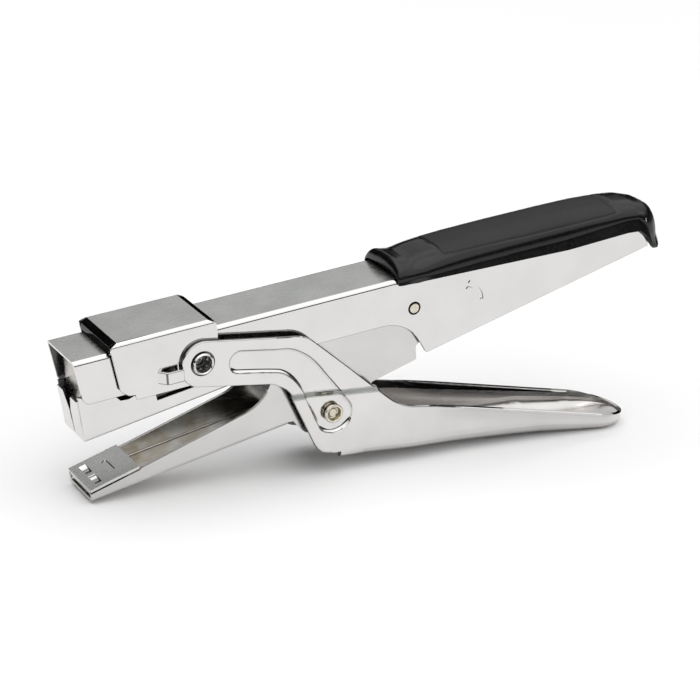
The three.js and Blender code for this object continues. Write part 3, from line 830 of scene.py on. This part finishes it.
def pressed(skin, depth=1.0, slope=1.7, edge=0.45):
    """Presses the joggle and the groove into the cheeks and rounds the sheet's edges."""
    x, y, z = points_of(skin).T
    groove = (np.abs(y) > 8) & (x < -22) & (np.abs(groove_depth(x, z) - 0.3) < 2.2)
    joggle = (x < -5) & (np.abs(above_joggle(x, z) + JOGGLE_RUN / 2) < 2.8)
    rim = (x < 76) & (rim_distance(x, z) < 1.3)
    refined(skin, (np.abs(y) > 5) & (rim | joggle | groove), 1)
    x, y, z = points_of(skin).T
    refined(skin, (np.abs(y) > 8) & (x < -22) & (np.abs(groove_depth(x, z) - 0.4) < 1.1), 1)
    points = points_of(skin)
    x, y, z = points.T
    inner = np.abs(y) < sheet_middle(points)
    cheek = (np.abs(y) > 8) & (x < -4) & ((x < CHEEK_END) | (z > -36))
    across = np.clip((groove_depth(x, z) + 0.1) / slope, 0, 1)
    deep = depth * smoothstep(across / 0.25) * (1 - (1 - across) ** 2.2)
    width = np.where(cheek, cheek_out(x, z) - deep - LEVER_WALL * inner, np.abs(y))
    distance = np.minimum(rim_distance(x, z), edge)
    turned = edge - np.sqrt(edge ** 2 - (edge - distance) ** 2)
    width += np.where((x < 66) & (np.abs(y) > 5), np.where(inner, turned, -turned), 0)
    points[:, 1] = np.sign(y) * width
    return put_points(skin, points)


def trough_station(x):
    """Half width, its share of the full one, floor and bend radius of the handle's trough at x."""
    into = max(0.0, (x - TAIL_START) / TAIL)
    width = math.sqrt(max(0.0, 1 - into * into))
    half = float(handle_half(x)) * width
    floor = -42.7 - 0.188 * (x - TROUGH_START) + 3.2 * into * into
    bend = float(np.interp(x, [-28, -18, 0, 40, 70], [2.6, 4.0, 4.6, 6.2, 7.0]))
    return half, width, floor, bend


def lever_columns():
    """Where the lever's mesh has its columns: close together where the outline turns."""
    nose = [NOSE + 7 * (k / 20) ** 1.7 for k in range(20)]
    cheeks = np.arange(NOSE + 7, TROUGH_START, 0.5)
    neck = np.arange(TROUGH_START, 0, 0.6)
    handle = np.arange(0, TAIL_START - 1, 1.5)
    tail = [TAIL_START + TAIL * math.sin(math.pi / 2 * k / 20) for k in range(20)]
    return [float(x) for x in (*nose, *cheeks, *neck, *handle, *tail)]


def lever_skin(side):
    """Outer skin of one half: rows from the upper edge down the cheek, then round to the middle."""
    top_x, top_z = zip(*LEVER_TOP)
    low_x, low_z = zip(*LEVER_LOW)
    wall_rows, bend_rows = 46, 10
    columns = lever_columns()
    verts = []
    faces = []
    index = {}
    for i, x in enumerate(columns):
        top = float(np.interp(x, top_x, top_z))
        if i == 0:
            # the nose starts as a short edge
            top = 3.0
        trough = x >= TROUGH_START
        if trough:
            half, width, floor, bend = trough_station(x)
            bend = min(bend, (top - floor) * 0.68, half * 0.85)
            low = floor + bend
        else:
            low = float(np.interp(x, low_x, low_z)) if i else 1.5
        for j in range(wall_rows + 1):
            z = top + (low - top) * j / wall_rows
            y = float(cheek_out(x, z)) if x < 0 else half
            if trough:
                y -= float(draw_in(x, top - z)) * width
            index[i, j] = len(verts)
            verts.append((x, side * y, z))
        if trough:
            for k in range(1, bend_rows + 1):
                a = math.pi / 2 * k / bend_rows
                y = verts[index[i, wall_rows]][1] * side
                index[i, wall_rows + k] = len(verts)
                verts.append((x, side * (y - bend * (1 - math.cos(a))), low - bend * math.sin(a)))
            index[i, wall_rows + bend_rows + 1] = len(verts)
            verts.append((x, 0.0, floor))
    for i in range(len(columns) - 1):
        for j in range(wall_rows + bend_rows + 1):
            quad = [(i, j), (i + 1, j), (i + 1, j + 1), (i, j + 1)]
            if all(q in index for q in quad):
                faces.append([index[q] for q in quad])
    rim = [verts[index[len(columns) - 1, j]] for j in range(wall_rows + bend_rows + 2)]
    return verts, faces, rim


def lever():
    """Both cheeks and the handle's trough, pressed from one sheet."""
    left, left_faces, left_rim = lever_skin(-1)
    right, right_faces, right_rim = lever_skin(1)
    verts = left + right
    faces = left_faces + [[len(left) + k for k in f] for f in right_faces]
    start = len(verts)
    verts += left_rim + right_rim
    n = len(left_rim)
    for j in range(n - 1):
        faces.append((start + j, start + j + 1, start + n + j + 1, start + n + j))
    skin = outward(new_object("lever", verts, faces), merge=1e-3, drop_slivers=True)
    floor = [f for f in skin.data.polygons if f.center.x > 0 and abs(f.center.y) < 4
             and abs(f.normal.z) > 0.9]
    if sum(f.normal.z for f in floor) > 0:
        skin.data.flip_normals()
    thick = skin.modifiers.new("thick", "SOLIDIFY")
    thick.thickness = LEVER_WALL
    thick.offset = -1
    pressed(bake(skin))
    sink = circle(3.9, *SADDLE_PIVOT)
    sunk_face = 12.7
    combine(skin, "DIFFERENCE", bore(LEVER_BORE, *SADDLE_PIVOT, half=20),
            prism(sink, -20, -sunk_face), prism(sink, sunk_face, 20),
            bore(LEVER_BORE, *LEVER_PIVOT, half=20))
    coats = [NICKEL, EDGE_SHADE, SHADED, TROUGH_SHADE, JOGGLE_SHADE, BLACK_AND_DARK_REFLECTION, HALF_SHADE]
    # the cheeks' cut edges and insides, and the rims of the eyelets' holes, painted dark: painted
    # shade
    paint_faces(skin, coats, EDGE_SHADE, lambda normal, centre:
                centre.x < -27 and abs(centre.y) > 8 and abs(normal.y) < 0.6)
    paint_faces(skin, coats, SHADED, lambda normal, centre:
                abs(centre.y) > 4 and normal.y * centre.y < -1)
    paint_faces(skin, coats, EDGE_SHADE, lambda normal, centre: abs(centre.y) < 13.1 and math.hypot(
        centre.x - SADDLE_PIVOT[0], centre.z - SADDLE_PIVOT[1]) < 4.0)
    # the handle: its inside painted a little darker and its underside greyer, both painted shade, and
    # the dark band under its rims, a painted reflection
    paint_faces(skin, coats, TROUGH_SHADE, lambda normal, centre:
                centre.x > -26 and into_trough(normal, centre) > 0.05)
    paint_faces(skin, coats, HALF_SHADE, lambda normal, centre:
                centre.x > -20 and normal.z < -0.35 and into_trough(normal, centre) < 0)
    paint_faces(skin, coats, BLACK_AND_DARK_REFLECTION, lambda normal, centre:
                -10 < centre.x < 62 and abs(normal.y) > 0.7 and normal.y * centre.y < 0
                and centre.z > rim_height(centre.x) - 2.6 + 0.032 * max(0, centre.x))
    # the joggle's slope, painted grey: painted shade
    paint_faces(skin, coats, JOGGLE_SHADE, lambda normal, centre:
                centre.x < -8 and abs(centre.y) > 10 and normal.y * centre.y > 0
                and -2.75 < above_joggle(centre.x, centre.z) < 0.1)
    return deliver(skin, "lever_pressed", "lever", coats, "lever")


def rim_height(x):
    """Height of the lever's upper edge at x."""
    return float(np.interp(x, *zip(*LEVER_TOP)))


def into_trough(normal, centre):
    """Above 0 for a face that looks into the handle."""
    inward_y, inward_z = -centre.y, rim_height(centre.x) - centre.z
    return (normal.y * inward_y + normal.z * inward_z) / (math.hypot(inward_y, inward_z) + 0.01)


def eyelet(side):
    """A hollow rivet with a rolled rim, split inside into six petals."""
    face = 13.5
    head = [(1.5, 10.4), (2.5, 10.4), (2.5, face - 0.7), (3.1, face - 0.5), (3.4, face - 0.05),
            (3.38, face + 0.3), (3.2, face + 0.58), (2.95, face + 0.68), (2.7, face + 0.58),
            (2.5, face + 0.3), (2.4, face - 0.2), (2.0, face - 1.2)]
    ring = lathe([(r, side * y) for r, y in head], *SADDLE_PIVOT)
    petals = []
    x, z = SADDLE_PIVOT
    for k in range(6):
        a = 2 * math.pi * k / 6 + 0.3
        tip = [(x + 1.75 * math.cos(a + d), z + 1.75 * math.sin(a + d)) for d in (-0.12, 0.12)]
        base = [(x + 2.45 * math.cos(a + d), z + 2.45 * math.sin(a + d)) for d in (0.32, -0.32)]
        petals.append(prism(tip + base, *sorted((side * (face - 1.5), side * (face - 1.0)))))
    combine(ring, "UNION", *petals)
    bevelled(ring, 0.08, 2, 40, clamp=True)
    coats = [NICKEL, DARK_STEEL_AND_SHADE]
    # the inside of the eyelet is painted dark: painted shade
    paint_faces(ring, coats, DARK_STEEL_AND_SHADE, lambda normal, centre: abs(centre.y) < face - 0.45)
    word = "near" if side < 0 else "far"
    return deliver(ring, f"eyelet_{word}_star", "lever", coats, f"eyelet_{word}")


# ---------------------------------------------------------------- magazine body

def in_magazine(obj):
    """Puts a solid drawn along the magazine's own floor in its place."""
    return moved(obj, lean(*MAGAZINE["place"]))


def magazine_channel():
    """The staple channel: a slotted front, cheeks cut back behind it, and hangers on the main pin."""
    half, wall = MAGAZINE["half"], MAGAZINE["wall"]
    side = [(-109.7, -1.7), (-108.3, -20), (-55, -20), (-55, -5.9), (-85.2, -8.95), (-86.2, -3.2),
            (-91.2, -2.8), (-92.0, -5.4), (-94.0, -6.1), (-96.6, -5.9), (-97.8, -4.6),
            (-98.2, -2.4)]
    channel = folded(channel_section(half, wall, 1.2, 0, 20), -1.5, 58.5, side, 0.16,
                     MAGAZINE["place"])
    hanger = rounded([(-62, -9.8), (-62, -6.2), (-8, 3.2, 4), (3.6, 3.6, 3.4), (3.6, -3.6, 3.4),
                      (-40, -6.5)])
    combine(channel, "UNION", in_magazine(box(-0.1, 0.7, 0.6 - half, half - 0.6, 0.3, 13.4)),
            prism(hanger, 6.1, 7.05), prism(hanger, -7.05, -6.1))
    mouth = prism(rounded([(-3.2, 14.5), (-0.3, 7.6), (0.3, 7.6), (3.2, 14.5)]), -1, 0.9, "x")
    combine(channel, "DIFFERENCE", in_magazine(box(-1, 0.9, -0.45, 0.45, -1, 20)), in_magazine(mouth),
            in_magazine(box(0.7, 2.5, -6.5, 6.5, -1, 3)), bore(MAIN_BORE))
    coats = [NICKEL, SHADED]
    paint_faces(channel, coats, SHADED, inward())
    return deliver(channel, "magazine_shell", "magazine", coats, "magazine_channel")


def pusher_spring():
    """A coil round the spring rod, between the pusher and the anchor."""
    rod_height = 9.0
    start, end, turns, radius, wire = 15.6, 50.0, 17, 1.55, 0.28
    steps = turns * 18
    points = []
    for k in range(steps + 1):
        a = 2 * math.pi * turns * k / steps
        points.append((start + (end - start) * k / steps, radius * math.cos(a),
                       rod_height + radius * math.sin(a)))
    coil = in_magazine(tube_along(points, wire, 8))
    piece = deliver(coil, "pusher_coil_spring", "magazine", [SPRING],
                    "pusher_spring")
    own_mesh(piece)
    return piece


# ---------------------------------------------------------------- the pieces

anvil_arm()
anvil_plate()
main_pin()
lever_rivet()
return_spring()
upper_arm()
driver_blade()
magazine_spring()
grip()
saddle()
lever()
eyelet(-1)
eyelet(1)
magazine_channel()
pusher_spring()

# these keep the shape of the CAD and only take a material
for node in ("lever_washer_near", "lever_washer_far", "lever_bush", "magazine_bush", "driver_block",
             "staple_rail", "spring_rod", "spring_anchor", "pusher"):
    plain = frame["nodes"][node].data
    plain.materials.clear()
    plain.materials.append(DARK_STEEL_AND_SHADE)


# ---------------------------------------------------------------- floor, light and camera

def floor():
    plane = new_object("floor", [(-3, -3, 0), (3, -3, 0), (3, 3, 0), (-3, 3, 0)], [(0, 1, 2, 3)])
    material, tree, shader = blank("floor_pale")
    tone = noise(tree, 3.0, 2)
    tree.links.new(ramp(tree, tone, [(0.3, grey(0.88)), (0.7, grey(0.9))]),
                   shader.inputs["Base Color"])
    shader.inputs["Roughness"].default_value = 0.9
    plane.data.materials.append(material)


def softbox(name, place, aim, size, power):
    """A flat rectangular light that faces aim."""
    light = bpy.data.lights.new(name, "AREA")
    light.shape = "RECTANGLE"
    light.size, light.size_y = size
    light.energy = power
    obj = bpy.data.objects.new(name, light)
    bpy.context.scene.collection.objects.link(obj)
    obj.location = place
    obj.rotation_euler = (Vector(aim) - Vector(place)).to_track_quat("-Z", "Y").to_euler()


def surroundings():
    """A studio: white overhead, black round the horizon, grey low behind on the right."""
    bpy.context.scene.view_settings.view_transform = "Standard"
    world = bpy.data.worlds.new("studio")
    bpy.context.scene.world = world
    world.use_nodes = True
    tree = world.node_tree
    coordinate = tree.nodes.new("ShaderNodeTexCoord")
    split = tree.nodes.new("ShaderNodeSeparateXYZ")
    tree.links.new(coordinate.outputs["Generated"], split.inputs["Vector"])
    ahead = ramp(tree, split.outputs["Z"], [(0.0, grey(0.02)), (0.28, grey(0.03)), (0.40, grey(1.0)),
                                            (0.6, grey(1.0))])
    low = ramp(tree, split.outputs["Z"], [(0.318, grey(0)), (0.335, grey(0.44)), (0.62, grey(0.56)),
                                          (0.70, grey(0))])
    right = ramp(tree, remap(tree, split.outputs["X"]), [(0.475, grey(0.04)), (0.515, grey(1)),
                                                         (0.72, grey(1.3))])
    high = ramp(tree, split.outputs["Z"], [(0.62, grey(0)), (0.74, grey(1.0))])
    depth = ramp(tree, remap(tree, split.outputs["Y"]), [(0.47, grey(0)), (0.56, grey(1))])
    behind = blend(tree, "ADD", 1.0, blend(tree, "MULTIPLY", 1.0, low, right), overhead(tree, high))
    mixed = blend(tree, "MIX", depth, overhead(tree, ahead), behind)
    background = tree.nodes["Background"]
    tree.links.new(mixed, background.inputs["Color"])
    background.inputs["Strength"].default_value = 1.0


def blend(tree, kind, factor, first, second):
    """Mixes two colours; factor and second may be fixed or come from another node."""
    node = tree.nodes.new("ShaderNodeMix")
    node.data_type = "RGBA"
    node.blend_type = kind
    tree.links.new(first, node.inputs[6])
    for value, socket in ((factor, node.inputs["Factor"]), (second, node.inputs[7])):
        if isinstance(value, (float, tuple)):
            socket.default_value = value
        else:
            tree.links.new(value, socket)
    return node.outputs[2]


def overhead(tree, source):
    """The brightness of the light overhead, where source is 1."""
    return blend(tree, "MULTIPLY", 1.0, source, (*grey(1.35), 1.0))


def remap(tree, source):
    """From the range -1 to 1 to the range 0 to 1."""
    node = tree.nodes.new("ShaderNodeMapRange")
    node.inputs["From Min"].default_value = -1
    tree.links.new(source, node.inputs["Value"])
    return node.outputs["Result"]


floor()
surroundings()
softbox("softbox_top", (-0.1, -0.1, 1.3), (0, 0, 0.03), (1.6, 1.2), 4.2)

# the photograph's view: from the near side and ahead of the jaw, a little above, with a long lens
camera = bpy.data.objects.new("camera", bpy.data.cameras.new("camera"))
bpy.context.scene.collection.objects.link(camera)
camera.data.sensor_width = 36
camera.data.lens = 128.57
camera.data.clip_start = 0.01
camera.location = MAIN_PIN + Vector((-0.37568, -0.61367, 0.26083))
camera.rotation_euler = [math.radians(a) for a in (68.7015, -4.5042, -28.6615)]
bpy.context.scene.camera = camera
